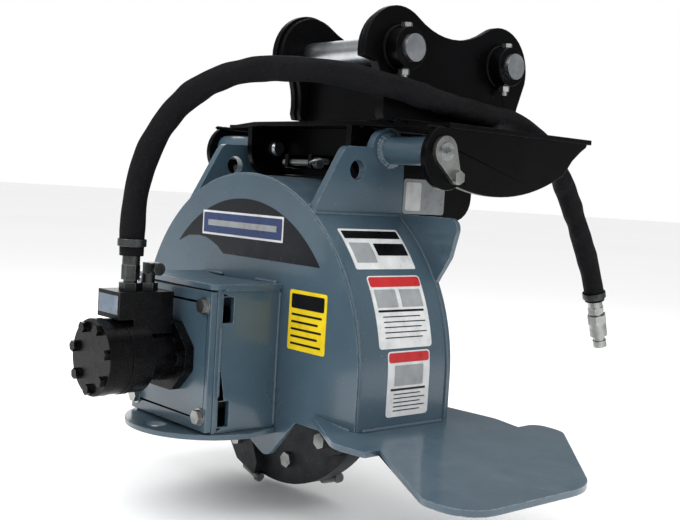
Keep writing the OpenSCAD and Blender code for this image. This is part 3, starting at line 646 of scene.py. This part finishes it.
NAVY = label_print("navy_vinyl", rgb(13, 17, 25))
WHITE = label_print("white_vinyl", rgb(214, 216, 216), (0.4, 0.4, 0.4, 1))
SILVER = label_print("silver_vinyl", rgb(150, 154, 156))
YELLOW = label_print("yellow_vinyl", rgb(232, 202, 30))
RED = label_print("red_vinyl", rgb(190, 40, 44))
INK = label_print("black_vinyl", rgb(12, 12, 14))
BLUE = label_print("blue_vinyl", rgb(46, 62, 104))
ORANGE = label_print("orange_vinyl", rgb(206, 120, 62))


def on_front(u, v, h):
    return (u, FRONT_Y - h, v)


def on_band(u, v, h):
    """u runs along Y, v up the band: straight below the arc's centre, round it above."""
    if v < ARC_Z:
        return (BAND_R + h, u, v)
    a = (v - ARC_Z) / BAND_R
    return ((BAND_R + h) * math.cos(a), u, ARC_Z + (BAND_R + h) * math.sin(a))


def arc_points(cx, cz, r, a0, a1, n):
    return [(cx + r * math.cos(math.radians(a0 + (a1 - a0) * i / n)),
             cz + r * math.sin(math.radians(a0 + (a1 - a0) * i / n))) for i in range(n + 1)]


def on_inner(u, v, h):
    return (INNER_X + h, u, v)


# lift of a label from its wall, and of what is printed on it
BASE, PRINT, PRINT_2, PRINT_3 = 0.1, 0.35, 0.6, 0.85


def make_labels():
    crescent = arc_points(0, ARC_Z, 182, 39, 137, 40) + [(-112, 125), (-90, 126.5), (-74, 125), (-61, 121),
                                                         (-49, 116), (-37, 108)]
    front_panel("front_decal", crescent, BASE, NAVY)
    front_panel("decal_border", rounded_box(-82, 76, 129, 158, 1), PRINT, WHITE)
    front_panel("decal_field", rounded_box(-79.5, 73.5, 131.5, 155.5, 1), PRINT_2, BLUE)
    front_panel("decal_bar", rounded_box(-70, 64, 140, 147, 1), PRINT_3, SILVER)
    front_panel("yellow_label", rounded_box(94, 157, 14, 80, 3), BASE, YELLOW)
    front_panel("yellow_label_head", rounded_box(98, 153, 60, 76, 2), PRINT, INK)
    band_panel("band_label_top", rounded_box(-60, 29, 116, 170, 2), BASE, WHITE)
    band_panel("band_label_top_head", rounded_box(-57, 26, 156, 167, 1), PRINT, INK)
    band_panel("band_label_top_square", rounded_box(-55, -25, 124, 150, 1), PRINT, SILVER)
    band_panel("band_label_top_block", rounded_box(-20, 26, 133, 149, 1), PRINT, INK)
    band_panel("band_label_mid", rounded_box(-50, 29, 28, 108, 4), BASE, WHITE)
    band_panel("band_label_mid_head", rounded_box(-48.5, 27.5, 95, 106.5, 3), PRINT, RED)
    band_panel("band_label_mid_left", rounded_box(-45, -14, 72, 92, 1), PRINT, SILVER)
    band_panel("band_label_mid_right", rounded_box(-8, 24, 72, 92, 1), PRINT, SILVER)
    band_panel("band_label_low", rounded_box(-38, 25, -45, 25, 4), BASE, WHITE)
    band_panel("band_label_low_head", rounded_box(-36.5, 23.5, 13, 23.5, 3), PRINT, RED)
    band_panel("band_label_low_block", rounded_box(-28, 15, -12, 10, 1), PRINT, SILVER)
    for tag, left, right, top, pitch in (("mid", -45, 23, 67, 5.6), ("low", -33, 19, -17, 4.4)):
        for i in range(6):
            low, cut = top - i * pitch, 7 * (i % 2)
            indent, weight = (0, 2.4) if i == 0 else (5, 1.1)
            rule = rounded_box(left + indent, right - cut, low, low + weight, 0.6)
            band_panel(f"band_rule_{tag}_{i}", rule, PRINT, INK)
    for i in range(5):
        rule = rounded_box(99, 150 - 6 * (i % 2), 52 - 8 * i, 54.4 - 8 * i, 0.8)
        front_panel(f"yellow_rule_{i}", rule, PRINT, INK)
    front_panel("orange_tag", rounded_box(-176, -150, 42, 54, 2), BASE, ORANGE)
    panel("frame_label", rounded_box(80, 152, 168, 210, 4), on_inner, BASE, SILVER, "hitch")
    panel("frame_label_mark", rounded_box(84, 110, 172, 206, 3), on_inner, PRINT, WHITE, "hitch")


make_labels()

# ---------------------------------------------------------------- floor and light

FLOOR_Z = cad_box[0].z - 0.002
FLOOR_R, FLOOR_SIDES = 30.0, 64
LIGHTS_AIM = (20, -20, 80)


def make_stage():
    s = Shade("pale_floor")
    tone = s.mix(s.ramp(s.noise(0.6, 3), 0.3, 0.7), (0.94, 0.94, 0.94, 1), (0.96, 0.96, 0.96, 1))
    look = s.finish(tone, 0.9)
    turns = [2 * math.pi * i / FLOOR_SIDES for i in range(FLOOR_SIDES)]
    verts = [Vector((FLOOR_R * math.cos(a), FLOOR_R * math.sin(a), FLOOR_Z)) for a in turns]
    floor = new_piece("floor", verts, [tuple(range(FLOOR_SIDES))], look, smooth=False)
    world = bpy.data.worlds.new("studio")
    bpy.context.scene.world = world
    world.use_nodes = True
    tree = world.node_tree
    surround = tree.nodes["Background"]
    surround.inputs["Color"].default_value = (1.0, 1.0, 1.0, 1)
    surround.inputs["Strength"].default_value = 1.0
    mirrored = tree.nodes.new("ShaderNodeBackground")
    mirrored.inputs["Color"].default_value = (0.94, 0.97, 1.0, 1)
    mirrored.inputs["Strength"].default_value = 0.25
    path = tree.nodes.new("ShaderNodeLightPath")
    pick = tree.nodes.new("ShaderNodeMixShader")
    tree.links.new(path.outputs["Is Glossy Ray"], pick.inputs["Fac"])
    tree.links.new(surround.outputs[0], pick.inputs[1])
    tree.links.new(mirrored.outputs[0], pick.inputs[2])
    tree.links.new(pick.outputs[0], tree.nodes["World Output"].inputs["Surface"])
    bpy.context.scene.view_settings.view_transform = "Standard"


def area_light(name, where, size, power):
    """A softbox at a point in mm, size in metres and power in watts, turned to the object."""
    data = bpy.data.lights.new(name, "AREA")
    data.shape = "RECTANGLE"
    data.size, data.size_y = size
    data.energy = power
    obj = bpy.data.objects.new(name, data)
    obj.location = at(*where)
    aim = at(*LIGHTS_AIM) - obj.location
    obj.rotation_mode = "QUATERNION"
    obj.rotation_quaternion = aim.to_track_quat("-Z", "Y")
    bpy.context.scene.collection.objects.link(obj)


make_stage()
area_light("key", (-300, -1500, 1500), (1.4, 1.0), 18)
area_light("side", (1900, 100, 900), (1.0, 1.6), 7)
area_light("top", (0, 200, 1900), (2.0, 2.0), 16)
area_light("rim", (-1700, 900, 900), (1.0, 1.5), 8)
